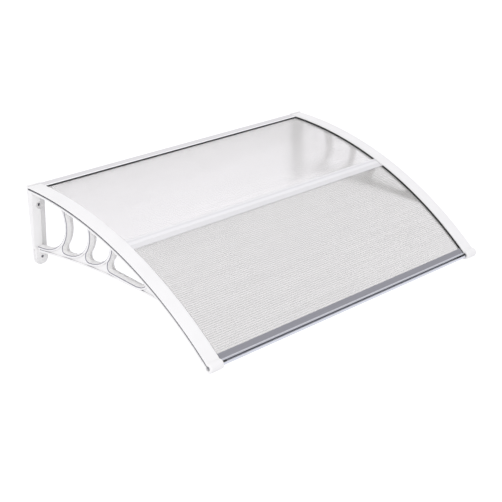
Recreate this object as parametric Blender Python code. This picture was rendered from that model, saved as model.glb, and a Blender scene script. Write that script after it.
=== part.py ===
"""A door canopy for a wall: two moulded side brackets, two curved hollow sheets and their bars and seals.

The wall is the plane y = 0 and the canopy reaches out from it along -Y. X runs along the wall, +Z is up.
The origin is on the wall, half way along, at the height where the middle of the arms' slots meets it.

Side views are drawn as (reach, height): reach is the distance out from the wall. Each arm follows one
circular arc, the middle line of its slots. A place on it is given as (run, lift): run is the distance
along the arc from the wall, lift is the distance square to it, upwards. Across is the distance inwards
from a bracket's outer face.
"""
import math

import bpy
import bmesh
from mathutils import Matrix, Vector

# The canopy as a whole
WIDTH = 1.200
ARC_RADIUS = 1.238
ARC_START_SLOPE = math.radians(4.1)
ARC_LENGTH = 0.877
ARC_STEP = 0.027
GAP = 0.0003

# The arms
ARM_WIDTH = 0.048
ARM_ABOVE = 0.0074
ARM_BELOW = 0.0086
ARM_EDGE_RADIUS = 0.0016
OUTER_SLOT_DEPTH = 0.020
OUTER_SLOT_HEIGHT = 0.006
INNER_SLOT_DEPTH = 0.020
INNER_SLOT_ABOVE = 0.0034

# The arms' tips, round about the front bar's screw
TIP_RADIUS = 0.015
TIP_EDGE_RADIUS = 0.0035
TIP_RECESS_RADIUS = 0.0072
TIP_RECESS_DEPTH = 0.0093
TIP_BORE_RADIUS = 0.0029

# The wall posts: a plate with a round lower end, and in front of it a body with a crest down its middle
PLATE_THICKNESS = 0.007
PLATE_TOP = 0.0092
POST_EDGE_AT_TOP = 0.0225
POST_EDGE_AT_FOOT = 0.0085
POST_CREST_RISE = 0.0105
POST_EDGE_BEVEL = 0.0016
LUG_DEPTH = 0.2236
LUG_THICKNESS = 0.0150
LUG_FACE_RADIUS = 0.0205
FIXING_HOLE_RADIUS = 0.005
UPPER_HOLE_DEPTH = 0.052
LOWER_HOLE_DEPTH = 0.2205
SPOTFACE_RADIUS = 0.012
SPOTFACE_REACH = 0.0228

# The ribbed web under the arms
WEB_WIDTH = 0.027
WEB_RUN = 0.655
WEB_END_LIFT = -0.0066
WEB_TOP_LIFT = -0.0064
WEB_DEPTH = 0.2015
WEB_EDGE_BOW = 0.0155
WEB_CREST = 0.0042
RIM = 0.0060
RIM_ROUNDING = 0.0016
POCKET_DEPTH = 0.003
STRUT_AT_TOP = 0.009
STRUT_AT_FOOT = 0.012
STRUT_CURVE_START = math.radians(18)
STRUT_CURVE_END = -math.radians(39)
FOOT_CORNER = 0.016
# Each opening's front curve follows an ellipse from its foot up into the arm: its middle and its end as
# shares of the web's reach, the depth of its middle as a share of the web's depth, and the solid left
# under it.
OPENINGS = (
    (0.066, 0.273, 0.420, 0.0140),
    (0.272, 0.454, 0.437, 0.0165),
    (0.445, 0.620, 0.490, 0.0160),
)
OPENING_CURVE_END = math.radians(50)
LAST_OPENING_END = 0.876
LAST_OPENING_SOLID = 0.0135

# The hollow sheets
SHEET_THICKNESS = 0.0045
SHEET_SKIN = 0.0005
SHEET_RIB = 0.0005
SHEET_CELL_PITCH = 0.0066
SHEET_IN_SLOT = 0.016
SHEET_START = 0.0085

# The middle connector
CONNECTOR_START = 0.407
CONNECTOR_WIDTH = 0.044
CONNECTOR_FLANGE = 0.0012
CONNECTOR_WEB = 0.0016
CONNECTOR_BEAD_WIDTH = 0.0024
CONNECTOR_BEAD_HEIGHT = 0.0006

# The seals
SEAL_THICKNESS = 0.0016
SEAL_IN_SLOT = 0.014
SEAL_NOSE_WIDTH = 0.0030
SEAL_NOSE_HEIGHT = 0.0028
SEAL_NOSE_CHAMFER = 0.0010

# The front bar, drawn about the screw's axis
BAR_TUBE_RADIUS = 0.0078
BAR_WALL = 0.0018
BAR_MOUTH_START = math.radians(68)
BAR_MOUTH_END = math.radians(117)
BAR_FLANGE = 0.027
BAR_LOWER_FLANGE = 0.018
PLUG_HEAD = 0.0034
PLUG_LENGTH = 0.0150
SCREW_HEAD_RADIUS = 0.0056
SCREW_HEAD_HEIGHT = 0.0040
SCREW_RADIUS = 0.0025
SCREW_CROSS_LENGTH = 0.0062
SCREW_CROSS_WIDTH = 0.0013
SCREW_CROSS_DEPTH = 0.0018
SCREW_POINT = 0.003

# The rear bar
REAR_BAR_REACH = 0.028
REAR_BAR_WALL = 0.0018
REAR_BAR_TOP = 0.0065
REAR_BAR_BOTTOM = -0.0120
REAR_BAR_TRAY = 0.022
REAR_SEAL_DEPTH = 0.012

ROUND_SEGMENTS = 32
CUT = 0.002
WELD = 0.00001

HALF = WIDTH / 2
SHEET_TOP = INNER_SLOT_ABOVE - 2 * GAP - SEAL_THICKNESS
SHEET_BOTTOM = SHEET_TOP - SHEET_THICKNESS
INNER_SLOT_BELOW = SHEET_BOTTOM - GAP


# Places on the arc

def on_arc(run, lift):
    """The side-view place at this distance along the arms' arc and this height square to it."""
    slope = ARC_START_SLOPE + run / ARC_RADIUS
    reach = ARC_RADIUS * (math.sin(slope) - math.sin(ARC_START_SLOPE)) + lift * math.sin(slope)
    height = ARC_RADIUS * (math.cos(slope) - math.cos(ARC_START_SLOPE)) + lift * math.cos(slope)
    return reach, height


def stations(start, end):
    """Runs from start to end, with every shared step between, so that all curved pieces nest."""
    count = math.ceil(ARC_LENGTH / ARC_STEP)
    shared = [ARC_LENGTH * k / count for k in range(count + 1)]
    margin = ARC_STEP / 10
    return [start] + [run for run in shared if start + margin < run < end - margin] + [end]


def about_axis(forward, up):
    """The side-view place given along and square to the arc, from the front screw's axis."""
    slope = ARC_START_SLOPE + ARC_LENGTH / ARC_RADIUS
    reach, height = on_arc(ARC_LENGTH, 0.0)
    return (reach + forward * math.cos(slope) + up * math.sin(slope),
            height - forward * math.sin(slope) + up * math.cos(slope))


def circle(middle, radius, segments=ROUND_SEGMENTS):
    return [(middle[0] + radius * math.cos(2 * math.pi * k / segments),
             middle[1] + radius * math.sin(2 * math.pi * k / segments)) for k in range(segments)]


def arc_points(middle, radii, start, end, segments):
    """Points of an ellipse's arc, angles in radians from the first axis."""
    angles = [start + (end - start) * k / segments for k in range(segments + 1)]
    return [(middle[0] + radii[0] * math.cos(a), middle[1] + radii[1] * math.sin(a)) for a in angles]


def corner_curve(first, corner, last, segments):
    """A curve from first to last that bends towards the corner, without its end points."""
    points = []
    for k in range(1, segments):
        t = k / segments
        points.append(tuple((1 - t) ** 2 * a + 2 * t * (1 - t) * c + t * t * b
                            for a, c, b in zip(first, corner, last)))
    return points


def grown(outline, distance):
    """A closed outline moved outwards by a distance, each point along the mean of its edges' normals."""
    area = sum(p[0] * q[1] - q[0] * p[1] for p, q in zip(outline, outline[1:] + outline[:1]))
    side = 1 if area > 0 else -1
    result = []
    for k, point in enumerate(outline):
        before = Vector(point) - Vector(outline[k - 1])
        after = Vector(outline[(k + 1) % len(outline)]) - Vector(point)
        normals = [Vector((edge.y, -edge.x)).normalized() * side for edge in (before, after)]
        middle = (normals[0] + normals[1]).normalized()
        reach = distance / max(middle.dot(normals[0]), 0.5)
        result.append(tuple(Vector(point) + middle * reach))
    return result


# Solids

def add_object(name, form):
    mesh = bpy.data.meshes.new(name)
    form.to_mesh(mesh)
    form.free()
    made = bpy.data.objects.new(name, mesh)
    bpy.context.collection.objects.link(made)
    return made


def loft(name, sections):
    """A solid through closed sections with like numbers of points, capped at both ends."""
    form = bmesh.new()
    rings = [[form.verts.new(point) for point in section] for section in sections]
    for ring, following in zip(rings, rings[1:]):
        for k in range(len(ring)):
            after = (k + 1) % len(ring)
            form.faces.new((ring[k], ring[after], following[after], following[k]))
    form.faces.new(rings[0])
    form.faces.new(rings[-1])
    bmesh.ops.recalc_face_normals(form, faces=form.faces)
    return add_object(name, form)


def along_x(name, outline, start, end):
    """A side-view outline made solid from one x to another."""
    return loft(name, [[(x, -reach, height) for reach, height in outline] for x in (start, end)])


def along_arc(name, section, runs):
    """A section of (x, lift) points carried along the arc."""
    rings = []
    for run in runs:
        places = [on_arc(run, lift) for _, lift in section]
        rings.append([(x, -reach, height) for (x, _), (reach, height) in zip(section, places)])
    return loft(name, rings)


def disc_out(name, x, height, radius, start, end):
    """A round solid that stands out from the wall, from one reach to another."""
    ring = circle((x, height), radius)
    return loft(name, [[(a, -reach, b) for a, b in ring] for reach in (start, end)])


def disc_across(name, middle, rings):
    """A turned solid about an axis along X, from (x, radius) pairs."""
    return loft(name, [[(x, -reach, height) for reach, height in circle(middle, radius)]
                       for x, radius in rings])


def bake(made):
    """Replaces an object's mesh with the one its modifiers make."""
    graph = bpy.context.evaluated_depsgraph_get()
    mesh = bpy.data.meshes.new_from_object(made.evaluated_get(graph))
    old = made.data
    made.modifiers.clear()
    made.data = mesh
    bpy.data.meshes.remove(old)
    mesh.name = made.name


def weld(mesh):
    """Joins the corners that a cut leaves side by side, and drops the slivers between them."""
    form = bmesh.new()
    form.from_mesh(mesh)
    bmesh.ops.remove_doubles(form, verts=form.verts, dist=WELD)
    bmesh.ops.dissolve_degenerate(form, edges=form.edges, dist=WELD / 2)
    form.to_mesh(mesh)
    form.free()


def combine(made, tools, operation):
    """Joins the tools to an object, or cuts them from it, and removes them."""
    for tool in tools:
        modifier = made.modifiers.new(tool.name, "BOOLEAN")
        modifier.operation = operation
        modifier.object = tool
        bake(made)
        weld(made.data)
        bpy.data.objects.remove(tool)


def mirrored(name, source):
    """A copy of an object for the other side of the canopy."""
    mesh = source.data.copy()
    mesh.transform(Matrix.Scale(-1, 4, Vector((1, 0, 0))))
    mesh.flip_normals()
    mesh.name = name
    made = bpy.data.objects.new(name, mesh)
    bpy.context.collection.objects.link(made)
    return made


# The side brackets

def left(across):
    return across - HALF


def arm():
    """The slotted arm's outer form, before its slots are cut."""
    edge = ARM_EDGE_RADIUS
    rounded = arc_points((left(edge), ARM_ABOVE - edge), (edge, edge), math.pi, math.pi / 2, 2)
    rounded += arc_points((left(ARM_WIDTH - edge), ARM_ABOVE - edge), (edge, edge), math.pi / 2, 0, 2)
    section = [(left(0), -ARM_BELOW)] + rounded + [(left(ARM_WIDTH), -ARM_BELOW)]
    made = along_arc("arm", section, stations(0.0, ARC_LENGTH))
    for vertex in made.data.vertices:
        if vertex.index < len(section):
            vertex.co.y = 0.0
    return made


def tip():
    """The round end of an arm, with softened edges, about the front bar's screw."""
    steps = 3
    rings = []
    for k in range(steps + 1):
        angle = math.pi / 2 * k / steps
        rings.append((TIP_EDGE_RADIUS * (1 - math.sin(angle)), TIP_RADIUS - TIP_EDGE_RADIUS
                      + TIP_EDGE_RADIUS * math.cos(angle)))
    rings.reverse()
    rings += [(ARM_WIDTH - across, radius) for across, radius in reversed(rings)]
    return disc_across("tip", on_arc(ARC_LENGTH, 0.0), [(left(a), r) for a, r in rings])


def slots():
    """Cutters for the empty outer slot, which runs into the tip's recess, and the sheets' inner slot."""
    def slot(name, edges, lifts, end):
        section = [(left(edges[0]), lifts[0]), (left(edges[0]), lifts[1]),
                   (left(edges[1]), lifts[1]), (left(edges[1]), lifts[0])]
        return along_arc(name, section, stations(PLATE_THICKNESS, end))

    half = OUTER_SLOT_HEIGHT / 2
    return [slot("outer_slot", (-CUT, OUTER_SLOT_DEPTH), (-half, half), ARC_LENGTH),
            slot("inner_slot", (ARM_WIDTH - INNER_SLOT_DEPTH, ARM_WIDTH + CUT),
                 (INNER_SLOT_BELOW, INNER_SLOT_ABOVE), sheet_front_end() + GAP)]


def web_outline(margin):
    """The web's side view: the arm above, and below a straight line bowed upwards from lug to arm."""
    start = PLATE_THICKNESS + margin
    end = WEB_RUN - 2 * margin
    count = math.ceil(WEB_RUN / ARC_STEP)
    top = [on_arc(start + (end - start) * k / count, WEB_TOP_LIFT - margin) for k in range(count + 1)]
    lower = []
    for k in range(count + 1):
        reach = top[-1][0] + (top[0][0] - top[-1][0]) * k / count
        lower.append((reach, web_edge(reach) + margin))
    return top + lower[1:]


def web_end():
    """The side-view place where the web's lower edge runs into the arm."""
    return on_arc(WEB_RUN, WEB_END_LIFT)


def web_edge(reach):
    """The height of the web's lower edge."""
    end_reach, end_height = web_end()
    share = reach / end_reach
    return -WEB_DEPTH + share * (end_height + WEB_DEPTH) + WEB_EDGE_BOW * math.sin(math.pi * share)


def front_curve(opening, wider=0.0, deeper=0.0):
    """The middle and half sizes of an opening's front curve, or of the strut's other side."""
    middle_share, end_share, depth_share, solid = opening
    middle = (middle_share * web_end()[0], -depth_share * WEB_DEPTH)
    half_width = (end_share - middle_share) * web_end()[0] + wider
    half_depth = middle[1] - (web_edge(middle[0]) + solid) + deeper
    return middle, (half_width, half_depth)


def opening_outlines():
    """Side views of the web's four openings, which run up into the arm."""
    outlines = []
    before = None
    for opening in OPENINGS:
        middle, radii = front_curve(opening)
        front = arc_points(middle, radii, -math.pi / 2, OPENING_CURVE_END, 13)
        if before is None:
            rear = [(PLATE_THICKNESS + CUT, CUT), (PLATE_THICKNESS + CUT, front[0][1])]
        else:
            rear = rear_of_opening(before, front[0])
        outlines.append(rear + front + [(front[-1][0], CUT)])
        before = opening
    outlines.append(last_opening(before))
    return outlines


def last_opening(before):
    """The long opening at the front: its floor runs along the web's edge and turns up to the arm."""
    start = before[1] * web_end()[0]
    end = LAST_OPENING_END * web_end()[0]
    floor_start = (start, web_edge(start) + LAST_OPENING_SOLID)
    floor_end = (end - FOOT_CORNER * 3, web_edge(end) + LAST_OPENING_SOLID)
    nose = (end + CUT, floor_end[1] + FOOT_CORNER * 2)
    turn = corner_curve(floor_end, (end, floor_end[1]), nose, 4)
    return rear_of_opening(before, floor_start) + [floor_start, floor_end] + turn + [nose, (end + CUT, CUT)]


def rear_of_opening(before, floor):
    """The rear side of an opening: down the strut behind it and round its foot onto the floor."""
    middle, radii = front_curve(before, STRUT_AT_TOP, STRUT_AT_FOOT)
    side = arc_points(middle, radii, STRUT_CURVE_START, STRUT_CURVE_END, 7)
    last = side[-1]
    corner = (last[0] - FOOT_CORNER * 0.6, floor[1])
    landing = (last[0] + FOOT_CORNER, floor[1])
    return [(side[0][0], CUT)] + side + corner_curve(last, corner, landing, 4)


def opening_cutter(name, outline):
    """A cutter that is narrowest at the web's middle plane, with a quarter round at both mouths."""
    start = (ARM_WIDTH - WEB_WIDTH) / 2
    half = WEB_WIDTH / 2
    depths = [(-CUT, RIM_ROUNDING)]
    for angle in (0, math.radians(45), math.radians(90)):
        depth = RIM_ROUNDING * (1 - math.cos(angle))
        depths.append((depth, RIM_ROUNDING * (1 - math.sin(angle)) - WEB_CREST * depth / half))
    rings = [(start + depth, growth) for depth, growth in depths]
    rings += [(start + half, -WEB_CREST)] + [(ARM_WIDTH - across, growth) for across, growth in rings[::-1]]
    return loft(name, [[(left(across), -reach, height) for reach, height in grown(outline, growth)]
                       for across, growth in rings])


def web():
    """The ribbed web: its edges rise to a crest on its middle plane, and pockets are sunk between rims."""
    start = (ARM_WIDTH - WEB_WIDTH) / 2
    end = start + WEB_WIDTH
    outlines = opening_outlines()
    made = loft("web", [[(left(across), -reach, height) for reach, height in web_outline(margin)]
                        for across, margin in ((start, 0.0), (ARM_WIDTH / 2, -WEB_CREST), (end, 0.0))])
    combine(made, [opening_cutter("opening", outline) for outline in outlines], "DIFFERENCE")
    pockets = []
    beside_post = POST_EDGE_AT_FOOT + POST_CREST_RISE + RIM
    for name, near, far in (("outer_pocket", start - CUT, start + POCKET_DEPTH),
                            ("inner_pocket", end - POCKET_DEPTH, end + CUT)):
        pocket = along_x(name, web_outline(RIM), left(near), left(far))
        rims = [along_x("rim", grown(outline, RIM), left(near - CUT), left(far + CUT))
                for outline in outlines]
        rims.append(along_x("post_side", [(-CUT, CUT), (-CUT, -1), (beside_post, -1), (beside_post, CUT)],
                            left(near - CUT), left(far + CUT)))
        combine(pocket, rims, "DIFFERENCE")
        pockets.append(pocket)
    combine(made, pockets, "DIFFERENCE")
    return made


def post_section(edge):
    """A level section of the post's body, as (x, reach): two bevelled edges and a crest between them."""
    bevel = POST_EDGE_BEVEL
    back = PLATE_THICKNESS / 2
    return [(left(0), back), (left(0), edge), (left(bevel), edge + bevel),
            (left(ARM_WIDTH / 2), edge + POST_CREST_RISE), (left(ARM_WIDTH - bevel), edge + bevel),
            (left(ARM_WIDTH), edge), (left(ARM_WIDTH), back)]


def post():
    """The wall post: a flat plate with a round lower end, a crested body and a lug's round face."""
    def tongue(name, radius, top, start, end):
        """A straight strip with a round lower end, that stands out from the wall."""
        middle = left(ARM_WIDTH / 2)
        outline = [(middle - radius, top)]
        outline += arc_points((middle, -LUG_DEPTH), (radius, radius), math.pi, 2 * math.pi, 16)
        outline += [(middle + radius, top)]
        return loft(name, [[(x, -reach, z) for x, z in outline] for reach in (start, end)])

    plate = tongue("plate", ARM_WIDTH / 2, PLATE_TOP, 0.0, PLATE_THICKNESS)
    lug = tongue("lug", LUG_FACE_RADIUS, -WEB_DEPTH + WEB_EDGE_BOW, PLATE_THICKNESS / 2, LUG_THICKNESS)
    levels = ((POST_EDGE_AT_TOP, CUT / 2 - ARM_BELOW), (POST_EDGE_AT_FOOT, -WEB_DEPTH + WEB_EDGE_BOW / 2))
    body = loft("body", [[(x, -reach, z) for x, reach in post_section(edge)] for edge, z in levels])
    combine(plate, [body, lug], "UNION")
    return plate


def bracket():
    middle = left(ARM_WIDTH / 2)
    axis = on_arc(ARC_LENGTH, 0.0)
    made = arm()
    made.name = "bracket_left"
    combine(made, [tip(), post(), web()], "UNION")
    recess = disc_across("recess", axis, [(left(-CUT), TIP_RECESS_RADIUS),
                                          (left(TIP_RECESS_DEPTH), TIP_RECESS_RADIUS)])
    bore = disc_across("bore", axis, [(left(TIP_RECESS_DEPTH - CUT), TIP_BORE_RADIUS),
                                      (left(ARM_WIDTH + CUT), TIP_BORE_RADIUS)])
    front = POST_EDGE_AT_TOP + POST_CREST_RISE + CUT
    holes = [disc_out("hole", middle, -depth, FIXING_HOLE_RADIUS, -CUT, front)
             for depth in (UPPER_HOLE_DEPTH, LOWER_HOLE_DEPTH)]
    spotface = disc_out("spotface", middle, -UPPER_HOLE_DEPTH, SPOTFACE_RADIUS, SPOTFACE_REACH, front)
    combine(made, slots() + [recess, bore, spotface] + holes, "DIFFERENCE")
    return made


# The sheets and their connector

def sheet_front_end():
    """The run at which the front sheet ends, just behind the front bar's screw channel."""
    return ARC_LENGTH - BAR_TUBE_RADIUS - 3 * GAP


def hollow_sheet(name, start, end):
    """A twin-wall sheet: two skins joined by ribs, with cells that are open at both side edges."""
    half_length = HALF - ARM_WIDTH + SHEET_IN_SLOT
    cells = round((end - start - SHEET_RIB) / SHEET_CELL_PITCH)
    pitch = (end - start - SHEET_RIB) / cells
    lifts = (SHEET_BOTTOM, SHEET_BOTTOM + SHEET_SKIN, SHEET_TOP - SHEET_SKIN, SHEET_TOP)
    runs = []
    for k in range(cells + 1):
        runs += [start + k * pitch, start + k * pitch + SHEET_RIB]
    form = bmesh.new()
    columns = []
    for run in runs:
        places = [on_arc(run, lift) for lift in lifts]
        columns.append([form.verts.new((-half_length, -reach, height)) for reach, height in places])
    for k, (column, following) in enumerate(zip(columns, columns[1:])):
        in_rib = k % 2 == 0
        for level in ((0, 1, 2) if in_rib else (0, 2)):
            form.faces.new((column[level], column[level + 1], following[level + 1], following[level]))
    extruded = bmesh.ops.extrude_face_region(form, geom=form.faces[:], use_keep_orig=True)
    moved = [item for item in extruded["geom"] if isinstance(item, bmesh.types.BMVert)]
    bmesh.ops.translate(form, verts=moved, vec=(2 * half_length, 0, 0))
    bmesh.ops.recalc_face_normals(form, faces=form.faces)
    return add_object(name, form)


def band(start, end, lower, upper):
    """The side view of a strip that follows the arc between two lifts."""
    runs = stations(start, end)
    return [on_arc(run, upper) for run in runs] + [on_arc(run, lower) for run in reversed(runs)]


def middle_connector():
    """An H-strip: its upper flange and web run into the arms' slots, its lower flange stops between them.

    Three low beads run along its upper face, one over the web and one at each edge.
    """
    start = CONNECTOR_START
    end = CONNECTOR_START + CONNECTOR_WIDTH
    middle = (start + end) / 2
    upper = SHEET_TOP + GAP
    lower = SHEET_BOTTOM - GAP
    top = upper + CONNECTOR_FLANGE
    long_half = HALF - ARM_WIDTH + SHEET_IN_SLOT
    short_half = HALF - ARM_WIDTH - GAP
    made = along_x("middle_connector", band(start, end, upper, top), -long_half, long_half)
    web_half = CONNECTOR_WEB / 2
    foot_half = CONNECTOR_WEB / 3
    inside = CONNECTOR_FLANGE / 2
    strips = [along_x("web", band(middle - web_half, middle + web_half, SHEET_BOTTOM, upper + inside),
                      -long_half, long_half),
              along_x("lower_flange", band(start, end, lower - CONNECTOR_FLANGE, lower),
                      -short_half, short_half),
              along_x("foot", band(middle - foot_half, middle + foot_half, lower - inside, SHEET_TOP),
                      -short_half, short_half)]
    for place in (start + CONNECTOR_BEAD_WIDTH, middle, end - CONNECTOR_BEAD_WIDTH):
        low = place - CONNECTOR_BEAD_WIDTH / 2
        bead = band(low, low + CONNECTOR_BEAD_WIDTH, top - inside, top + CONNECTOR_BEAD_HEIGHT)
        strips.append(along_x("bead", bead, -short_half, short_half))
    combine(made, strips, "UNION")
    return made


# The seals

def seal_section(edge, depth):
    """A strip that lies on the sheet, from a depth behind an edge, with a higher nose in front of it."""
    low = SHEET_TOP + GAP
    nose = edge + GAP
    front = nose + SEAL_NOSE_WIDTH
    return [(edge - depth, low), (front, low), (front, low + SEAL_THICKNESS),
            (front - SEAL_NOSE_CHAMFER, low + SEAL_NOSE_HEIGHT), (nose, low + SEAL_NOSE_HEIGHT),
            (nose, low + SEAL_THICKNESS), (edge - depth, low + SEAL_THICKNESS)]


def side_seal(name, start, end):
    """A rubber strip in the left arm's inner slot, with its nose past the slot's lip."""
    return along_arc(name, seal_section(left(ARM_WIDTH), SEAL_IN_SLOT), stations(start, end))


def rear_seal():
    """A rubber strip under the rear bar's lip, with its nose in front of the lip."""
    half = HALF - ARM_WIDTH - SEAL_NOSE_WIDTH - 3 * GAP
    section = seal_section(REAR_BAR_REACH, REAR_SEAL_DEPTH)
    return along_x("rear_seal", [on_arc(run, lift) for run, lift in section], -half, half)


# The bars

def rear_bar():
    """The wall profile: a sloping cover over the sheet, a back on the wall and a tray under the sheet."""
    wall = REAR_BAR_WALL
    cover = SHEET_TOP + 2 * GAP + SEAL_THICKNESS
    tray = SHEET_BOTTOM - GAP
    outline = [(0.0, REAR_BAR_TOP), on_arc(REAR_BAR_REACH, cover + wall), on_arc(REAR_BAR_REACH, cover),
               on_arc(wall, cover), on_arc(wall, tray), on_arc(REAR_BAR_TRAY, tray),
               on_arc(REAR_BAR_TRAY, tray - wall), (wall, on_arc(wall, tray - wall)[1]),
               (wall, REAR_BAR_BOTTOM), (0.0, REAR_BAR_BOTTOM)]
    half = HALF - ARM_WIDTH - GAP
    return along_x("rear_bar", outline, -half, half)


def front_bar():
    """The front profile: a flange over the sheet, an open round screw channel and a flange under it."""
    outer = BAR_TUBE_RADIUS
    inner = outer - BAR_WALL
    upper_low = SHEET_TOP + 2 * GAP
    upper_high = upper_low + BAR_WALL
    lower_high = SHEET_BOTTOM - 2 * GAP
    lower_low = lower_high - BAR_WALL

    def joint(lift):
        """The angle at which the channel's rear side reaches this lift."""
        return math.pi - math.asin(lift / outer)

    turn = 2 * math.pi
    outline = [(-BAR_FLANGE, upper_low), (-BAR_FLANGE, upper_high)]
    outline += arc_points((0, 0), (outer, outer), joint(upper_high), BAR_MOUTH_END, 4)
    outline += arc_points((0, 0), (inner, inner), BAR_MOUTH_END, BAR_MOUTH_START + turn, 24)
    outline += arc_points((0, 0), (outer, outer), BAR_MOUTH_START, joint(lower_low) - turn, 18)
    outline += [(-BAR_LOWER_FLANGE, lower_low), (-BAR_LOWER_FLANGE, lower_high)]
    outline += arc_points((0, 0), (outer, outer), joint(lower_high), joint(upper_low), 4)
    half = HALF - ARM_WIDTH - 2 * GAP - PLUG_HEAD
    return along_x("front_bar", [about_axis(*place) for place in outline], -half, half)


def plug():
    """A black plug in the channel's left end, bored for the screw."""
    axis = on_arc(ARC_LENGTH, 0.0)
    head = ARM_WIDTH + GAP
    body = head + PLUG_HEAD
    made = disc_across("front_bar_plug_left", axis, [
        (left(head), BAR_TUBE_RADIUS), (left(body), BAR_TUBE_RADIUS),
        (left(body), BAR_TUBE_RADIUS - BAR_WALL - GAP),
        (left(body + PLUG_LENGTH), BAR_TUBE_RADIUS - BAR_WALL - GAP)])
    bore = disc_across("bore", axis, [(left(head - CUT), SCREW_RADIUS + GAP),
                                      (left(body + PLUG_LENGTH + CUT), SCREW_RADIUS + GAP)])
    combine(made, [bore], "DIFFERENCE")
    return made


def screw():
    """The screw through the left arm's tip, with a domed head and a cross recess."""
    axis = on_arc(ARC_LENGTH, 0.0)
    radius = SCREW_HEAD_RADIUS
    seat = TIP_RECESS_DEPTH - GAP
    top = seat - SCREW_HEAD_HEIGHT
    dome = SCREW_HEAD_HEIGHT / 2
    rings = [(top + dome * (1 - math.cos(angle)), radius * (0.4 + 0.6 * math.sin(angle)))
             for angle in (math.radians(20), math.radians(55), math.radians(90))]
    end = ARM_WIDTH + PLUG_HEAD + PLUG_LENGTH
    rings += [(seat, radius), (seat, SCREW_RADIUS), (end - SCREW_POINT, SCREW_RADIUS),
              (end, SCREW_RADIUS / 3)]
    made = disc_across("bar_screw_left", axis, [(left(across), size) for across, size in rings])
    long = SCREW_CROSS_LENGTH / 2
    short = SCREW_CROSS_WIDTH / 2
    for name, a, b in (("cross_one", long, short), ("cross_two", short, long)):
        bar = [about_axis(-a, -b), about_axis(a, -b), about_axis(a, b), about_axis(-a, b)]
        combine(made, [along_x(name, bar, left(top - CUT), left(top + SCREW_CROSS_DEPTH))], "DIFFERENCE")
    return made


# Materials

def material(name, colour, roughness, metallic=0.0, alpha=1.0):
    made = bpy.data.materials.new(name)
    made.use_nodes = True
    shader = made.node_tree.nodes["Principled BSDF"]
    shader.inputs["Base Color"].default_value = (*colour, 1.0)
    shader.inputs["Roughness"].default_value = roughness
    shader.inputs["Metallic"].default_value = metallic
    shader.inputs["Alpha"].default_value = alpha
    return made


def finish(made, surface):
    """Cleans a mesh, shades its round faces smooth and gives it its material."""
    weld(made.data)
    made.data.shade_smooth()
    made.data.set_sharp_from_angle(angle=math.radians(32))
    made.data.materials.clear()
    made.data.materials.append(surface)


def main():
    for existing in list(bpy.data.objects):
        bpy.data.objects.remove(existing)

    white_plastic = material("white_plastic", (0.90, 0.90, 0.91), 0.35)
    polycarbonate = material("polycarbonate", (0.86, 0.86, 0.87), 0.20, alpha=0.85)
    clear_plastic = material("clear_plastic", (0.84, 0.84, 0.88), 0.25, alpha=0.85)
    grey_aluminium = material("grey_aluminium", (0.33, 0.33, 0.36), 0.38, metallic=1.0)
    pale_aluminium = material("pale_aluminium", (0.75, 0.76, 0.78), 0.35, metallic=1.0)
    black_rubber = material("black_rubber", (0.012, 0.012, 0.014), 0.60)
    black_plastic = material("black_plastic", (0.015, 0.015, 0.016), 0.45)
    zinc_steel = material("zinc_steel", (0.55, 0.55, 0.56), 0.30, metallic=1.0)

    connector_middle = CONNECTOR_START + CONNECTOR_WIDTH / 2
    joint = CONNECTOR_WEB / 2 + GAP
    connector_end = CONNECTOR_START + CONNECTOR_WIDTH
    seals = (("side_seal_left_rear", REAR_BAR_REACH + SEAL_NOSE_WIDTH + 3 * GAP, CONNECTOR_START - GAP),
             ("side_seal_left_front", connector_end + GAP, ARC_LENGTH - BAR_FLANGE - GAP))

    left_pieces = [(bracket(), white_plastic), (plug(), black_plastic), (screw(), zinc_steel)]
    left_pieces += [(side_seal(*seal), black_rubber) for seal in seals]
    for made, surface in left_pieces:
        finish(made, surface)
        mirrored(made.name.replace("left", "right"), made)
    finish(hollow_sheet("rear_sheet", SHEET_START, connector_middle - joint), polycarbonate)
    finish(hollow_sheet("front_sheet", connector_middle + joint, sheet_front_end()), polycarbonate)
    finish(middle_connector(), clear_plastic)
    finish(rear_bar(), pale_aluminium)
    finish(rear_seal(), black_rubber)
    finish(front_bar(), grey_aluminium)


if __name__ == "__main__":
    main()
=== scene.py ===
"""The looks of a polycarbonate door canopy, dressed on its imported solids.

Everything is in metres, in the solids' own frame: the wall is the plane y = 0, the canopy reaches out along
-Y, X runs along the wall and +Z is up.
"""

import math

import bmesh
import bpy
from mathutils import Matrix, Vector
from mathutils.bvhtree import BVHTree


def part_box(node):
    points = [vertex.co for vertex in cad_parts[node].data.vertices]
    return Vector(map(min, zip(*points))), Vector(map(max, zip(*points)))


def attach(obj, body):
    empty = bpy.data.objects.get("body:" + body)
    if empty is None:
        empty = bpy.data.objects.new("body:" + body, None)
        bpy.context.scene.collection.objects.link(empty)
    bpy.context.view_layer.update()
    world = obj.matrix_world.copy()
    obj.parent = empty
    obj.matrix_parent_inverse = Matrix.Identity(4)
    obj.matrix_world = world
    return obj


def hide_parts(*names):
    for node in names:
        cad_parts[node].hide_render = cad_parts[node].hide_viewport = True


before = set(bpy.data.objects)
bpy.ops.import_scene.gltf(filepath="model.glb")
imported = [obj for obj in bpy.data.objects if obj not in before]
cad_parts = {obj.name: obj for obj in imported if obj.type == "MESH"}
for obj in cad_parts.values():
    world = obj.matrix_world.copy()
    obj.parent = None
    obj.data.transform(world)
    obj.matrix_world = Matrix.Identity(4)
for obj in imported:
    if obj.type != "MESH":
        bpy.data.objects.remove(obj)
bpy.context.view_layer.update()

bl_info = {
    "name": "Door Canopy Looks",
    "version": (1, 0, 0),
    "blender": (4, 5, 0),
    "location": "3D View > Sidebar > Canopy",
    "description": "Dresses a polycarbonate door canopy and sets up its stage",
    "category": "Object",
}

MM = 0.001
SIDES = ("left", "right")

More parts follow.
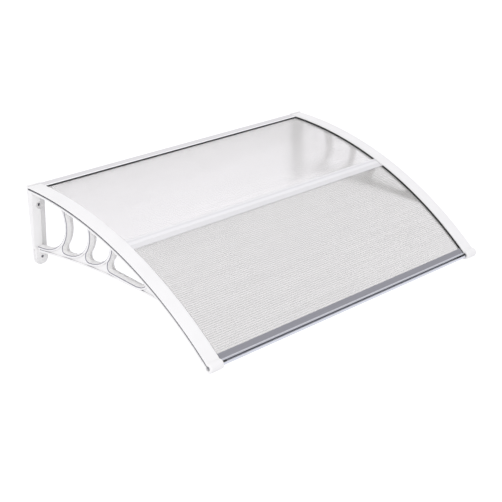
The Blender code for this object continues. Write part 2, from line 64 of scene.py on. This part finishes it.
# The photograph's camera: where it stands, which way it looks and how long its lens is
PHOTO_WIDTH_PIXELS = 502
LENS_PIXELS = 1220.22
CAMERA_PLACE = (-2.56928, -3.00806, 1.05044)
CAMERA_AZIMUTH = math.radians(43.9488)
CAMERA_ELEVATION = math.radians(19.8755)
CAMERA_ROLL = math.radians(-2.1014)
CAMERA_SENSOR = 36.0
CAMERA_LENS = CAMERA_SENSOR * LENS_PIXELS / PHOTO_WIDTH_PIXELS

# Sizes that the marks on the solids' faces go by
WEB_HALF_WIDTH = 13.5 * MM
RIM_ROUNDING = 1.6 * MM
PARTING_LINE = 1.0 * MM
POST_REACH = 20 * MM
FRONT_SLOPE = math.radians(44.7)
CONNECTOR_SLOPE = math.radians(23.9)
SHOULDER = 9.5 * MM
BORE_SHARE = 0.85
BORE_HIGHLIGHT = 0.6
LIP = 4 * MM
# How much of a face's direction points along X: less is a face along the web's edge, more is its side
EDGE_SLANT = 0.2
SIDE_SLANT = 0.98

# The frosted connector: where each of its five bands starts, from its rear to its front edge
BAND_STARTS = (0.0, 0.17, 0.33, 0.58, 0.92)
FRONT_EDGE_COVER = 0.25

# Edges that turn by more than this are rounded, and those that turn by more than the others stay sharp
ROUNDED_ANGLE = math.radians(32)
SHARP_ANGLE = math.radians(40)
BRACKET_SHARP_ANGLE = math.radians(30)

# The stage
FLOOR_HEIGHT = -1.05
FLOOR_SIZE = 60.0
FLOOR_LIFT = 0.25
KEY_PLACE = Vector((-3.3, -2.4, 2.4))
KEY_AIM = Vector((0.0, -0.4, -0.1))
KEY_SIZE = 3.0
# A ray through a hollow sheet crosses four skin faces and up to three ribs.
RAY_BOUNCES = 20


def linear(colour):
    """The linear colour of an sRGB hex value, with alpha 1."""
    parts = [int(colour[k:k + 2], 16) / 255 for k in (1, 3, 5)]
    return tuple(c / 12.92 if c <= 0.04045 else ((c + 0.055) / 1.055) ** 2.4 for c in parts) + (1.0,)


# Materials

def add(tree, kind, inputs, **settings):
    """Adds a node: its settings, and its inputs, where each is a value or another node's output."""
    made = tree.nodes.new(kind)
    for name, value in settings.items():
        setattr(made, name, value)
    for name, value in inputs.items():
        socket = next((s for s in made.inputs if s.name == name and s.enabled), None) or made.inputs[name]
        if isinstance(value, bpy.types.NodeSocket):
            tree.links.new(value, socket)
        else:
            socket.default_value = value
    return made


def mixed_colour(node):
    """The colour output of a mix node, which has one output of each data type."""
    return next(socket for socket in node.outputs if socket.enabled)


def new_material(name):
    """A material without nodes, and the tree that its nodes go into."""
    made = bpy.data.materials.new(name)
    made.use_nodes = True
    made.node_tree.nodes.clear()
    return made, made.node_tree


def moulded_abs(colour):
    """White ABS, injection moulded in a spark-eroded mould: satin, with a fine even grain."""
    made, tree = new_material("moulded_white_abs")
    place = add(tree, "ShaderNodeTexCoord", {}).outputs["Object"]
    # The resin flows unevenly: patches a hand wide that are a trace greyer.
    flow = add(tree, "ShaderNodeTexNoise", {"Vector": place, "Scale": 1 / (70 * MM), "Detail": 2.0})
    shade = add(tree, "ShaderNodeValToRGB", {"Fac": flow.outputs["Fac"]})
    shade.color_ramp.elements[0].position = 0.35
    shade.color_ramp.elements[0].color = [c * 0.975 for c in colour[:3]] + [1]
    shade.color_ramp.elements[1].position = 0.62
    shade.color_ramp.elements[1].color = colour
    # Painted shade darkens slots, bores and inner corners towards a lilac grey, up to 14 mm from the faces
    # beside them.
    hidden = add(tree, "ShaderNodeAmbientOcclusion", {"Distance": 14 * MM}, samples=8, only_local=True)
    painted_shade = add(tree, "ShaderNodeMapRange", {"Value": hidden.outputs["AO"], "From Min": 0.15, "From Max": 0.6,
                                            "To Min": 1.0, "To Max": 0.0})
    shade = add(tree, "ShaderNodeMix", {"Factor": painted_shade.outputs["Result"], "A": shade.outputs["Color"],
                                        "B": linear("#7C7B86")}, data_type="RGBA")
    # Painted shade: a grey line along the rims of the web's openings, and along the parting line where the
    # bracket overhangs it.
    rim = add(tree, "ShaderNodeAttribute", {}, attribute_name="rim").outputs["Fac"]
    shade = add(tree, "ShaderNodeMix", {"Factor": rim, "A": mixed_colour(shade), "B": linear("#86858F")},
                data_type="RGBA")
    # The real grain is 0.1 mm; it is drawn at 0.9 mm, the finest that shows here.
    grain = add(tree, "ShaderNodeTexNoise", {"Vector": place, "Scale": 1 / (0.9 * MM), "Detail": 1.0})
    gloss = add(tree, "ShaderNodeMapRange", {"Value": grain.outputs["Fac"], "To Min": 0.34, "To Max": 0.46})
    bump = add(tree, "ShaderNodeBump", {"Height": grain.outputs["Fac"], "Strength": 0.25,
                                        "Distance": 0.06 * MM})
    shader = add(tree, "ShaderNodeBsdfPrincipled", {
        "Base Color": mixed_colour(shade), "Roughness": gloss.outputs["Result"], "IOR": 1.53,
        "Normal": bump.outputs["Normal"]})
    add(tree, "ShaderNodeOutputMaterial", {"Surface": shader.outputs["BSDF"]})
    return made


def milky_polycarbonate(name, colour, rib_colour, clearness):
    """Twin-wall polycarbonate, extruded and faintly milky: glossy skins with soft streaks along the cells."""
    made, tree = new_material(name)
    place = add(tree, "ShaderNodeTexCoord", {}).outputs["Object"]
    # Extrusion streaks run along X; they are 12 mm wide, with finer ones among them, and half a metre long.
    stretch = add(tree, "ShaderNodeMapping", {"Vector": place, "Scale": (0.02, 1.0, 1.0)})
    streak = add(tree, "ShaderNodeTexNoise", {"Vector": stretch.outputs["Vector"], "Scale": 1 / (12 * MM),
                                              "Detail": 2.0})
    shade = add(tree, "ShaderNodeValToRGB", {"Fac": streak.outputs["Fac"]})
    shade.color_ramp.elements[0].position = 0.3
    shade.color_ramp.elements[0].color = [c * 0.975 for c in colour[:3]] + [1]
    shade.color_ramp.elements[1].position = 0.7
    shade.color_ramp.elements[1].color = colour
    # Only the skins carry the milky layer that shields from sunlight; the front sheet's ribs are clear.
    rib = add(tree, "ShaderNodeAttribute", {}, attribute_name="rib").outputs["Fac"]
    shade = add(tree, "ShaderNodeMix", {"Factor": rib, "A": shade.outputs["Color"], "B": rib_colour},
                data_type="RGBA")
    # The skins sag a little between the ribs and the rollers leave slow waves, 25 mm long.
    wave = add(tree, "ShaderNodeTexNoise", {"Vector": place, "Scale": 1 / (25 * MM), "Detail": 1.0})
    bump = add(tree, "ShaderNodeBump", {"Height": wave.outputs["Fac"], "Strength": 0.15,
                                        "Distance": 0.6 * MM})
    shader = add(tree, "ShaderNodeBsdfPrincipled", {
        "Base Color": mixed_colour(shade), "Roughness": 0.12, "IOR": 1.58, "Transmission Weight": clearness,
        "Normal": bump.outputs["Normal"]})
    add(tree, "ShaderNodeOutputMaterial", {"Surface": shader.outputs["BSDF"]})
    return made


def frosted_plastic(colours, cover):
    """Clear polycarbonate strip, extruded with a frosted face: whiter and duller than the sheets.

    The colours follow each other across the strip, from its rear edge to its front edge, where it tapers and
    covers a quarter as much; the lighter colours are painted highlights and the darker ones painted shade.
    """
    made, tree = new_material("frosted_clear_polycarbonate")
    place = add(tree, "ShaderNodeTexCoord", {}).outputs["Object"]
    stretch = add(tree, "ShaderNodeMapping", {"Vector": place, "Scale": (0.01, 1.0, 1.0)})
    # Die lines 1.2 mm apart run along X.
    lines = add(tree, "ShaderNodeTexNoise", {"Vector": stretch.outputs["Vector"], "Scale": 1 / (1.2 * MM),
                                             "Detail": 1.0})
    wander = add(tree, "ShaderNodeMapRange", {"Value": lines.outputs["Fac"], "To Min": -0.02, "To Max": 0.02})
    # Painted highlights along its three beads make the strip whiter there, and painted shade makes it greyer
    # between them.
    low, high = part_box("middle_connector")
    apart = add(tree, "ShaderNodeSeparateXYZ", {"Vector": place})
    across = add(tree, "ShaderNodeMapRange", {"Value": apart.outputs["Y"], "From Min": high[1],
                                              "From Max": low[1]})
    across = add(tree, "ShaderNodeMath", {0: across.outputs["Result"], 1: wander.outputs["Result"]},
                 operation="ADD")
    shade = add(tree, "ShaderNodeValToRGB", {"Fac": across.outputs["Value"]})
    ramp = shade.color_ramp
    ramp.interpolation = "CONSTANT"
    covers = [cover] * 4 + [cover * FRONT_EDGE_COVER]
    for k, (start, colour, share) in enumerate(zip(BAND_STARTS, colours, covers)):
        stop = ramp.elements[k] if k < 2 else ramp.elements.new(start)
        stop.position = start
        stop.color = (*colour[:3], share)
    bump = add(tree, "ShaderNodeBump", {"Height": lines.outputs["Fac"], "Strength": 0.3,
                                        "Distance": 0.05 * MM})
    # Only the upper half is frosted.
    under = add(tree, "ShaderNodeAttribute", {}, attribute_name="under").outputs["Fac"]
    over = add(tree, "ShaderNodeMapRange", {"Value": under, "To Min": 1.0, "To Max": 0.1})
    frost = add(tree, "ShaderNodeMath", {0: shade.outputs["Alpha"], 1: over.outputs["Result"]},
                operation="MULTIPLY")
    shader = add(tree, "ShaderNodeBsdfPrincipled", {
        "Base Color": shade.outputs["Color"], "Roughness": 0.3, "IOR": 1.58, "Alpha": frost.outputs["Value"],
        "Normal": bump.outputs["Normal"]})
    add(tree, "ShaderNodeOutputMaterial", {"Surface": shader.outputs["BSDF"]})
    return made


def drawn_aluminium(name, colour, highlight_colour, metallic, line_width):
    """Extruded aluminium: die lines run the length of the bar, and faces marked for a painted highlight are
    brighter.
    """
    made, tree = new_material(name)
    place = add(tree, "ShaderNodeTexCoord", {}).outputs["Object"]
    stretch = add(tree, "ShaderNodeMapping", {"Vector": place, "Scale": (0.004, 1.0, 1.0)})
    lines = add(tree, "ShaderNodeTexNoise", {"Vector": stretch.outputs["Vector"], "Scale": 1 / line_width,
                                             "Detail": 2.0})
    shade = add(tree, "ShaderNodeValToRGB", {"Fac": lines.outputs["Fac"]})
    shade.color_ramp.elements[0].position = 0.3
    shade.color_ramp.elements[0].color = [c * 0.88 for c in colour[:3]] + [1]
    shade.color_ramp.elements[1].position = 0.7
    shade.color_ramp.elements[1].color = colour
    painted_highlight = add(tree, "ShaderNodeAttribute", {}, attribute_name="painted_highlight").outputs["Fac"]
    shade = add(tree, "ShaderNodeMix", {"Factor": painted_highlight, "A": shade.outputs["Color"], "B": highlight_colour},
                data_type="RGBA")
    gloss = add(tree, "ShaderNodeMapRange", {"Value": lines.outputs["Fac"], "To Min": 0.31, "To Max": 0.41})
    bump = add(tree, "ShaderNodeBump", {"Height": lines.outputs["Fac"], "Strength": 0.2,
                                        "Distance": 0.03 * MM})
    shader = add(tree, "ShaderNodeBsdfPrincipled", {
        "Base Color": mixed_colour(shade), "Metallic": metallic,
        "Roughness": gloss.outputs["Result"], "Normal": bump.outputs["Normal"]})
    add(tree, "ShaderNodeOutputMaterial", {"Surface": shader.outputs["BSDF"]})
    return made


def extruded_rubber(colour):
    """Black EPDM rubber, extruded: matt, with a pale bloom in patches."""
    made, tree = new_material("extruded_epdm_rubber")
    place = add(tree, "ShaderNodeTexCoord", {}).outputs["Object"]
    bloom = add(tree, "ShaderNodeTexNoise", {"Vector": place, "Scale": 1 / (12 * MM), "Detail": 4.0})
    shade = add(tree, "ShaderNodeValToRGB", {"Fac": bloom.outputs["Fac"]})
    shade.color_ramp.elements[0].position = 0.4
    shade.color_ramp.elements[0].color = colour
    shade.color_ramp.elements[1].position = 0.8
    shade.color_ramp.elements[1].color = [c * 1.9 for c in colour[:3]] + [1]
    grain = add(tree, "ShaderNodeTexNoise", {"Vector": place, "Scale": 1 / (0.6 * MM), "Detail": 1.0})
    bump = add(tree, "ShaderNodeBump", {"Height": grain.outputs["Fac"], "Strength": 0.3,
                                        "Distance": 0.05 * MM})
    shader = add(tree, "ShaderNodeBsdfPrincipled", {
        "Base Color": shade.outputs["Color"], "Roughness": 0.62, "IOR": 1.5,
        "Normal": bump.outputs["Normal"]})
    add(tree, "ShaderNodeOutputMaterial", {"Surface": shader.outputs["BSDF"]})
    return made


def moulded_nylon(colour):
    """Black nylon, injection moulded: a dull shine with a fine grain."""
    made, tree = new_material("moulded_black_nylon")
    place = add(tree, "ShaderNodeTexCoord", {}).outputs["Object"]
    grain = add(tree, "ShaderNodeTexNoise", {"Vector": place, "Scale": 1 / (0.7 * MM), "Detail": 1.0})
    shade = add(tree, "ShaderNodeValToRGB", {"Fac": grain.outputs["Fac"]})
    shade.color_ramp.elements[0].color = colour
    shade.color_ramp.elements[1].color = [c * 1.4 for c in colour[:3]] + [1]
    gloss = add(tree, "ShaderNodeMapRange", {"Value": grain.outputs["Fac"], "To Min": 0.4, "To Max": 0.52})
    shader = add(tree, "ShaderNodeBsdfPrincipled", {
        "Base Color": shade.outputs["Color"], "Roughness": gloss.outputs["Result"], "IOR": 1.53})
    add(tree, "ShaderNodeOutputMaterial", {"Surface": shader.outputs["BSDF"]})
    return made


def zinc_plated_steel(colour):
    """Steel with bright zinc plating: a soft shine with cloudy patches."""
    made, tree = new_material("zinc_plated_steel")
    place = add(tree, "ShaderNodeTexCoord", {}).outputs["Object"]
    cloud = add(tree, "ShaderNodeTexNoise", {"Vector": place, "Scale": 1 / (2.5 * MM), "Detail": 3.0})
    shade = add(tree, "ShaderNodeValToRGB", {"Fac": cloud.outputs["Fac"]})
    shade.color_ramp.elements[0].position = 0.3
    shade.color_ramp.elements[0].color = [c * 0.8 for c in colour[:3]] + [1]
    shade.color_ramp.elements[1].position = 0.7
    shade.color_ramp.elements[1].color = colour
    gloss = add(tree, "ShaderNodeMapRange", {"Value": cloud.outputs["Fac"], "To Min": 0.24, "To Max": 0.4})
    shader = add(tree, "ShaderNodeBsdfPrincipled", {
        "Base Color": shade.outputs["Color"], "Metallic": 1.0, "Roughness": gloss.outputs["Result"]})
    add(tree, "ShaderNodeOutputMaterial", {"Surface": shader.outputs["BSDF"]})
    return made


def seen_share(tree):
    """1 for a ray from the camera, a glossy face or a clear piece, and 0 for one that only brings light."""
    path = add(tree, "ShaderNodeLightPath", {}).outputs
    seen = add(tree, "ShaderNodeMath", {0: path["Is Camera Ray"], 1: path["Is Glossy Ray"]},
               operation="MAXIMUM")
    seen = add(tree, "ShaderNodeMath", {0: seen.outputs["Value"], 1: path["Is Transmission Ray"]},
               operation="MAXIMUM")
    return seen.outputs["Value"]


# Pieces

def merged_form(node):
    """A bmesh of a CAD node's solid, its loose triangles joined into whole faces."""
    form = bmesh.new()
    form.from_mesh(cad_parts[node].data)
    bmesh.ops.remove_doubles(form, verts=form.verts, dist=0.002 * MM)
    bmesh.ops.dissolve_limit(form, angle_limit=math.radians(0.4), verts=form.verts, edges=form.edges,
                             use_dissolve_boundaries=False)
    form.normal_update()
    return form


def mark(form, name, share):
    """Writes an attribute that holds each face's share, from 0 to 1."""
    layer = form.loops.layers.float.new(name)
    for face in form.faces:
        value = share(face)
        for corner in face.loops:
            corner[layer] = value


def cut(form, place, normal):
    """Cuts a form's faces along a plane, with nothing removed."""
    bmesh.ops.bisect_plane(form, geom=form.verts[:] + form.edges[:] + form.faces[:], plane_co=place,
                           plane_no=normal)


def mark_ribs(form):
    """Marks a sheet's rib faces: they look up and back or down and forward, and the skins never do."""
    mark(form, "rib", lambda face: float(face.normal.y * face.normal.z > 0.02))


def mark_channel(form):
    """Marks the front bar's screw channel, with its shoulder, for a painted highlight, and its bore for a
    weaker one.

    The channel lies about the same axis as the plugs in its ends.
    """
    low, high = (Vector(corner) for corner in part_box("front_bar_plug_left"))
    axis = (low + high) / 2
    radius = (high.z - low.z) / 2
    backwards = Vector((0, math.cos(FRONT_SLOPE), math.sin(FRONT_SLOPE)))
    cut(form, axis + backwards * SHOULDER, backwards)

    def painted_share(face):
        away = face.calc_center_median() - axis
        away.x = 0
        if away.dot(backwards) > SHOULDER:
            return 0.0
        return 1.0 if away.length > BORE_SHARE * radius else BORE_HIGHLIGHT

    mark(form, "painted_highlight", painted_share)


def mark_underside(form):
    """Marks the connector's lower half, below the middle of the sheets."""
    low, high = (Vector(corner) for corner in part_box("middle_connector"))
    middle = (low + high) / 2
    upwards = Vector((0, -math.sin(CONNECTOR_SLOPE), math.cos(CONNECTOR_SLOPE)))
    mark(form, "under", lambda face: float((face.calc_center_median() - middle).dot(upwards) < 0))


def mark_lip(form):
    """Marks the rear bar's lip, along the seal, for a painted highlight."""
    lip = Vector((0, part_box("rear_bar")[0][1] + LIP, 0))
    cut(form, lip, Vector((0, 1, 0)))
    mark(form, "painted_highlight", lambda face: float(face.calc_center_median().y < lip.y))


def mark_rims(form, node):
    """Marks painted shade on the roundings at the mouths of a bracket's openings, on the outer face of its
    web.

    The mould's parting line, in the middle of the web's thickness, gets half as much painted shade, and only
    where the bracket itself overhangs it.
    """
    low, high = (Vector(corner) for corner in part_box(node))
    middle = Vector(((low.x + high.x) / 2, 0, 0))
    sideways = Vector((PARTING_LINE / 2, 0, 0))
    cut(form, middle - sideways, sideways)
    cut(form, middle + sideways, sideways)
    tree = BVHTree.FromBMesh(form)

    def painted_share(face):
        place = face.calc_center_median()
        outwards = (place.x - middle.x) * math.copysign(1, middle.x)
        slant = abs(face.normal.x)
        if place.y > -POST_REACH:
            return 0.0
        if abs(outwards) < sideways.x and slant < EDGE_SLANT:
            # Painted shade under an overhang: an upward ray from the face meets the bracket.
            overhung = tree.ray_cast(place + face.normal * MM, Vector((0, 0, 1)))[0] is not None
            return 0.5 if overhung else 0.0
        return float(abs(outwards - WEB_HALF_WIDTH) < RIM_ROUNDING and EDGE_SLANT < slant < SIDE_SLANT)

    mark(form, "rim", painted_share)


def round_edges(form, radius):
    """Rounds a form's distinct edges with two facets each."""
    distinct = [edge for edge in form.edges
                if len(edge.link_faces) == 2 and edge.calc_face_angle() > ROUNDED_ANGLE]
    bmesh.ops.bevel(form, geom=distinct, offset=radius, offset_type="OFFSET", affect="EDGES", segments=2,
                    profile=0.5, material=-1, clamp_overlap=True)


def finish_piece(form, name, surface, node, sharp_angle=SHARP_ANGLE):
    """Makes an object of a form, in its material and in place of its CAD node.

    It is smooth over edges that turn by less than the sharp angle.
    """
    mesh = bpy.data.meshes.new(name)
    form.to_mesh(mesh)
    form.free()
    mesh.materials.append(surface)
    mesh.shade_smooth()
    mesh.set_sharp_from_angle(angle=sharp_angle)
    made = bpy.data.objects.new(name, mesh)
    bpy.context.scene.collection.objects.link(made)
    # Broad faces keep their own direction, so that only the roundings beside them shade off.
    flat = made.modifiers.new("flat_faces", "WEIGHTED_NORMAL")
    flat.keep_sharp = True
    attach(made, "root")
    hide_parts(node)
    return made


class CanopySettings(bpy.types.PropertyGroup):
    """Sizes and colours of the canopy's looks."""
    edge_radius: bpy.props.FloatProperty(
        name="Edge Radius", description="Rounding of the extruded pieces' edges",
        default=0.25 * MM, min=0.0, unit="LENGTH")
    plastic_colour: bpy.props.FloatVectorProperty(
        name="Brackets", description="Colour of the moulded brackets",
        default=linear("#EFEEEC"), size=4, subtype="COLOR")
    rear_sheet_colour: bpy.props.FloatVectorProperty(
        name="Rear Sheet", description="Colour of the milky rear sheet",
        default=linear("#FEFDFD"), size=4, subtype="COLOR")
    # The front sheet is the same polycarbonate as the rear one; its greyer skin colour is painted shade.
    front_sheet_shaded_colour: bpy.props.FloatVectorProperty(
        name="Front Sheet", description="Colour of the milky front sheet's skins",
        default=linear("#F0EFEE"), size=4, subtype="COLOR")
    rib_colour: bpy.props.FloatVectorProperty(
        name="Front Sheet Ribs", description="Colour of the front sheet's clear ribs",
        default=linear("#FEFEFE"), size=4, subtype="COLOR")
    sheet_clearness: bpy.props.FloatProperty(
        name="Sheet Clearness", description="Share of the light that a sheet's faces let through",
        default=0.97, min=0.0, max=1.0, subtype="FACTOR")
    # The connector's bead and edge colours carry painted highlights, and the colour between the beads carries
    # painted shade.
    connector_bead_highlight_colour: bpy.props.FloatVectorProperty(
        name="Connector, Thick", description="Colour of the frosted middle connector at its beads",
        default=linear("#F7F6F6"), size=4, subtype="COLOR")
    connector_gap_shade_colour: bpy.props.FloatVectorProperty(
        name="Connector, Thin", description="Colour of the frosted middle connector between its beads",
        default=linear("#ECEBEB"), size=4, subtype="COLOR")
    connector_edge_highlight_colour: bpy.props.FloatVectorProperty(
        name="Connector, Edge", description="Colour of the frosted middle connector's front edge",
        default=linear("#F6F5F5"), size=4, subtype="COLOR")
    connector_cover: bpy.props.FloatProperty(
        name="Connector Cover", description="Share of the light that each face of the connector stops",
        default=0.8, min=0.0, max=1.0, subtype="FACTOR")
    front_bar_colour: bpy.props.FloatVectorProperty(
        name="Front Bar", description="Colour of the anodised front bar",
        default=linear("#9A9AA2"), size=4, subtype="COLOR")
    # The screw channel's brighter colour is a painted highlight.
    channel_highlight_colour: bpy.props.FloatVectorProperty(
        name="Screw Channel", description="Colour of the front bar's screw channel, rubbed bright",
        default=linear("#D0D2DA"), size=4, subtype="COLOR")
    rear_bar_colour: bpy.props.FloatVectorProperty(
        name="Rear Bar", description="Colour of the coated rear bar",
        default=linear("#DFDDDD"), size=4, subtype="COLOR")
    # The lip's white is a painted highlight.
    lip_highlight_colour: bpy.props.FloatVectorProperty(
        name="Rear Bar, Lip", description="Colour of the rear bar's lip, where its coating is rubbed clean",
        default=linear("#FFFFFF"), size=4, subtype="COLOR")
    rubber_colour: bpy.props.FloatVectorProperty(
        name="Seals", description="Colour of the rubber seals",
        default=linear("#131314"), size=4, subtype="COLOR")
    nylon_colour: bpy.props.FloatVectorProperty(
        name="Plugs", description="Colour of the front bar's end plugs",
        default=linear("#161617"), size=4, subtype="COLOR")
    steel_colour: bpy.props.FloatVectorProperty(
        name="Screws", description="Colour of the zinc plated screws",
        default=linear("#C4C5C9"), size=4, subtype="COLOR")
    key_power: bpy.props.FloatProperty(
        name="Key Light", description="Power of the large soft lamp at the left, in watts",
        default=46.0, min=0.0)
    fill_strength: bpy.props.FloatProperty(
        name="Fill Light", description="Strength of the even light from all round",
        default=0.985, min=0.0)


def settings():
    """The scene's settings for the canopy's looks."""
    return bpy.context.scene.canopy_looks


class CANOPY_OT_brackets(bpy.types.Operator):
    """Gives the two moulded side brackets their satin white finish."""
    bl_idname = "canopy.brackets"
    bl_label = "Side Brackets"

    def execute(self, context):
        surface = moulded_abs(settings().plastic_colour)
        for side in SIDES:
            node = f"bracket_{side}"
            form = merged_form(node)
            mark_rims(form, node)
            finish_piece(form, f"moulded_{node}", surface, node, BRACKET_SHARP_ANGLE)
        return {"FINISHED"}


class CANOPY_OT_sheets(bpy.types.Operator):
    """Gives the two hollow sheets their milky finish."""
    bl_idname = "canopy.sheets"
    bl_label = "Hollow Sheets"

    def execute(self, context):
        looks = settings()
        # The front sheet's greyer skins carry painted shade.
        for node, colour, rib_colour in (("rear_sheet", looks.rear_sheet_colour, looks.rear_sheet_colour),
                                         ("front_sheet", looks.front_sheet_shaded_colour, looks.rib_colour)):
            surface = milky_polycarbonate(f"milky_{node}", colour, rib_colour, looks.sheet_clearness)
            form = merged_form(node)
            mark_ribs(form)
            finish_piece(form, f"milky_{node}", surface, node)
        return {"FINISHED"}


class CANOPY_OT_connector(bpy.types.Operator):
    """Makes the frosted strip that joins the two sheets, with its edges rounded."""
    bl_idname = "canopy.connector"
    bl_label = "Middle Connector"

    def execute(self, context):
        looks = settings()
        # Bands of painted highlight at the beads and the front edge, and painted shade between them.
        bead_highlight, gap_shade = looks.connector_bead_highlight_colour, looks.connector_gap_shade_colour
        bands = (bead_highlight, gap_shade, bead_highlight, gap_shade, looks.connector_edge_highlight_colour)
        surface = frosted_plastic(bands, looks.connector_cover)
        form = merged_form("middle_connector")
        round_edges(form, looks.edge_radius)
        mark_underside(form)
        finish_piece(form, "frosted_connector", surface, "middle_connector")
        return {"FINISHED"}


class CANOPY_OT_bars(bpy.types.Operator):
    """Makes the front and the rear bar, with the small roundings of an extrusion."""
    bl_idname = "canopy.bars"
    bl_label = "Bars"

    def execute(self, context):
        looks = settings()
        grey = drawn_aluminium("anodised_grey_aluminium", looks.front_bar_colour, looks.channel_highlight_colour, 1.0,
                               0.8 * MM)
        pale = drawn_aluminium("coated_white_aluminium", looks.rear_bar_colour, looks.lip_highlight_colour, 0.0,
                               2.5 * MM)
        for node, surface, slot in (("front_bar", grey, "grey_aluminium"),
                                    ("rear_bar", pale, "pale_aluminium")):
            form = merged_form(node)
            round_edges(form, looks.edge_radius)
            if node == "front_bar":
                mark_channel(form)
            else:
                mark_lip(form)
            finish_piece(form, f"extruded_{node}", surface, node)
        return {"FINISHED"}


class CANOPY_OT_seals(bpy.types.Operator):
    """Makes the black rubber seals along the rear bar and the two arms."""
    bl_idname = "canopy.seals"
    bl_label = "Seals"

    def execute(self, context):
        looks = settings()
        surface = extruded_rubber(looks.rubber_colour)
        nodes = ["rear_seal"] + [f"side_seal_{side}_{end}" for side in SIDES for end in ("rear", "front")]
        for node in nodes:
            form = merged_form(node)
            round_edges(form, looks.edge_radius)
            finish_piece(form, f"rubber_{node}", surface, node)
        return {"FINISHED"}


class CANOPY_OT_fasteners(bpy.types.Operator):
    """Makes the front bar's end plugs and the screws in the arms' tips."""
    bl_idname = "canopy.fasteners"
    bl_label = "Plugs and Screws"

    def execute(self, context):
        looks = settings()
        nylon = moulded_nylon(looks.nylon_colour)
        steel = zinc_plated_steel(looks.steel_colour)
        for side in SIDES:
            for node, surface, slot in ((f"front_bar_plug_{side}", nylon, "black_plastic"),
                                        (f"bar_screw_{side}", steel, "zinc_steel")):
                form = merged_form(node)
                round_edges(form, looks.edge_radius)
                finish_piece(form, f"turned_{node}", surface, node)
        return {"FINISHED"}


class CANOPY_OT_stage(bpy.types.Operator):
    """Sets up the pale floor, the soft light and the photograph's camera."""
    bl_idname = "canopy.stage"
    bl_label = "Stage"

    def execute(self, context):
        scene = context.scene
        scene.view_settings.view_transform = "Standard"
        scene.cycles.max_bounces = RAY_BOUNCES
        scene.cycles.transmission_bounces = RAY_BOUNCES
        self.add_floor(scene)
        self.add_world(scene)
        self.add_key(scene)
        self.add_camera(scene)
        return {"FINISHED"}

    def add_floor(self, scene):
        """A plain white floor that keeps the shadow and shows white to the camera where nothing shades it."""
        made, tree = new_material("white_floor")
        lift = add(tree, "ShaderNodeMath", {0: seen_share(tree), 1: FLOOR_LIFT}, operation="MULTIPLY")
        shader = add(tree, "ShaderNodeBsdfPrincipled", {
            "Base Color": linear("#F5F5F5"), "Roughness": 0.9, "Specular IOR Level": 0.0,
            "Emission Color": (1, 1, 1, 1), "Emission Strength": lift.outputs["Value"]})
        add(tree, "ShaderNodeOutputMaterial", {"Surface": shader.outputs["BSDF"]})
        form = bmesh.new()
        bmesh.ops.create_grid(form, x_segments=1, y_segments=1, size=FLOOR_SIZE / 2)
        bmesh.ops.translate(form, verts=form.verts, vec=(0, 0, FLOOR_HEIGHT))
        mesh = bpy.data.meshes.new("floor")
        form.to_mesh(mesh)
        form.free()
        mesh.materials.append(made)
        floor = bpy.data.objects.new("floor", mesh)
        scene.collection.objects.link(floor)

    def add_world(self, scene):
        """White all round: strength 1 where it is seen, and the fill strength where it lights."""
        world = bpy.data.worlds.new("studio")
        world.use_nodes = True
        tree = world.node_tree
        tree.nodes.clear()
        fill = add(tree, "ShaderNodeBackground", {"Color": linear("#FAFAFF"),
                                                  "Strength": settings().fill_strength})
        white = add(tree, "ShaderNodeBackground", {"Color": (1, 1, 1, 1), "Strength": 1.0})
        mix = add(tree, "ShaderNodeMixShader", {0: seen_share(tree), 1: fill.outputs["Background"],
                                                2: white.outputs["Background"]})
        add(tree, "ShaderNodeOutputWorld", {"Surface": mix.outputs["Shader"]})
        scene.world = world

    def add_key(self, scene):
        """A large soft lamp, high at the left and in front."""
        lamp = bpy.data.lights.new("key", "AREA")
        lamp.shape = "RECTANGLE"
        lamp.size = KEY_SIZE
        lamp.size_y = KEY_SIZE
        lamp.energy = settings().key_power
        made = bpy.data.objects.new("key", lamp)
        turn = (KEY_AIM - KEY_PLACE).to_track_quat("-Z", "Y").to_matrix().to_4x4()
        made.matrix_world = Matrix.Translation(KEY_PLACE) @ turn
        scene.collection.objects.link(made)

    def add_camera(self, scene):
        """The photograph's camera, turned by its azimuth, elevation and roll."""
        camera = bpy.data.cameras.new("photo_camera")
        camera.sensor_width = CAMERA_SENSOR
        camera.lens = CAMERA_LENS
        camera.clip_end = 100.0
        made = bpy.data.objects.new("photo_camera", camera)
        made.matrix_world = (Matrix.Translation(CAMERA_PLACE)
                             @ Matrix.Rotation(-CAMERA_AZIMUTH, 4, "Z")
                             @ Matrix.Rotation(math.pi / 2 - CAMERA_ELEVATION, 4, "X")
                             @ Matrix.Rotation(CAMERA_ROLL, 4, "Z"))
        scene.collection.objects.link(made)
        scene.camera = made


OPERATORS = (CANOPY_OT_brackets, CANOPY_OT_sheets, CANOPY_OT_connector, CANOPY_OT_bars, CANOPY_OT_seals,
             CANOPY_OT_fasteners, CANOPY_OT_stage)


class CANOPY_PT_panel(bpy.types.Panel):
    """Lists the canopy's pieces and settings."""
    bl_label = "Door Canopy"
    bl_idname = "CANOPY_PT_panel"
    bl_space_type = "VIEW_3D"
    bl_region_type = "UI"
    bl_category = "Canopy"

    def draw(self, context):
        looks = context.scene.canopy_looks
        for name in looks.bl_rna.properties.keys():
            if name not in ("rna_type", "name"):
                self.layout.prop(looks, name)
        for operator in OPERATORS:
            self.layout.operator(operator.bl_idname)


def register():
    for item in (CanopySettings, *OPERATORS, CANOPY_PT_panel):
        bpy.utils.register_class(item)
    bpy.types.Scene.canopy_looks = bpy.props.PointerProperty(type=CanopySettings)


def unregister():
    del bpy.types.Scene.canopy_looks
    for item in (CANOPY_PT_panel, *reversed(OPERATORS), CanopySettings):
        bpy.utils.unregister_class(item)


def main():
    register()
    bpy.ops.canopy.brackets()
    bpy.ops.canopy.sheets()
    bpy.ops.canopy.connector()
    bpy.ops.canopy.bars()
    bpy.ops.canopy.seals()
    bpy.ops.canopy.fasteners()
    bpy.ops.canopy.stage()


if __name__ == "__main__":
    main()
